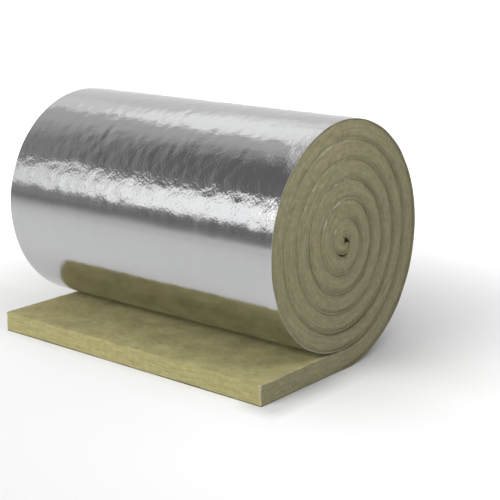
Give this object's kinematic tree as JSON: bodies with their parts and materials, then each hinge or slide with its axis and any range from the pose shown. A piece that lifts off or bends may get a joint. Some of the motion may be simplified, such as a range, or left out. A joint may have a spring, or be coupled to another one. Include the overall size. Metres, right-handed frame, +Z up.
{
  "type": "insulation roll",
  "caption": "Mineral wool insulation mat with an aluminium foil facing, wound into a roll that lies on its side with its free end laid out flat.",
  "frame": {"origin": "on the floor, under the middle of the whole part", "axes": "+X along the roll's axis, +Y away from the free end, +Z up"},
  "size_m": [1, 0.713, 0.703],
  "materials": {
    "wool": "matt olive-brown mineral fibre",
    "foil": "bright foil laminate, lightly crinkled"
  },
  "bodies": {
    "root": {"wool_mat": "wool", "foil_facing": "foil"}
  },
  "joints": []
}
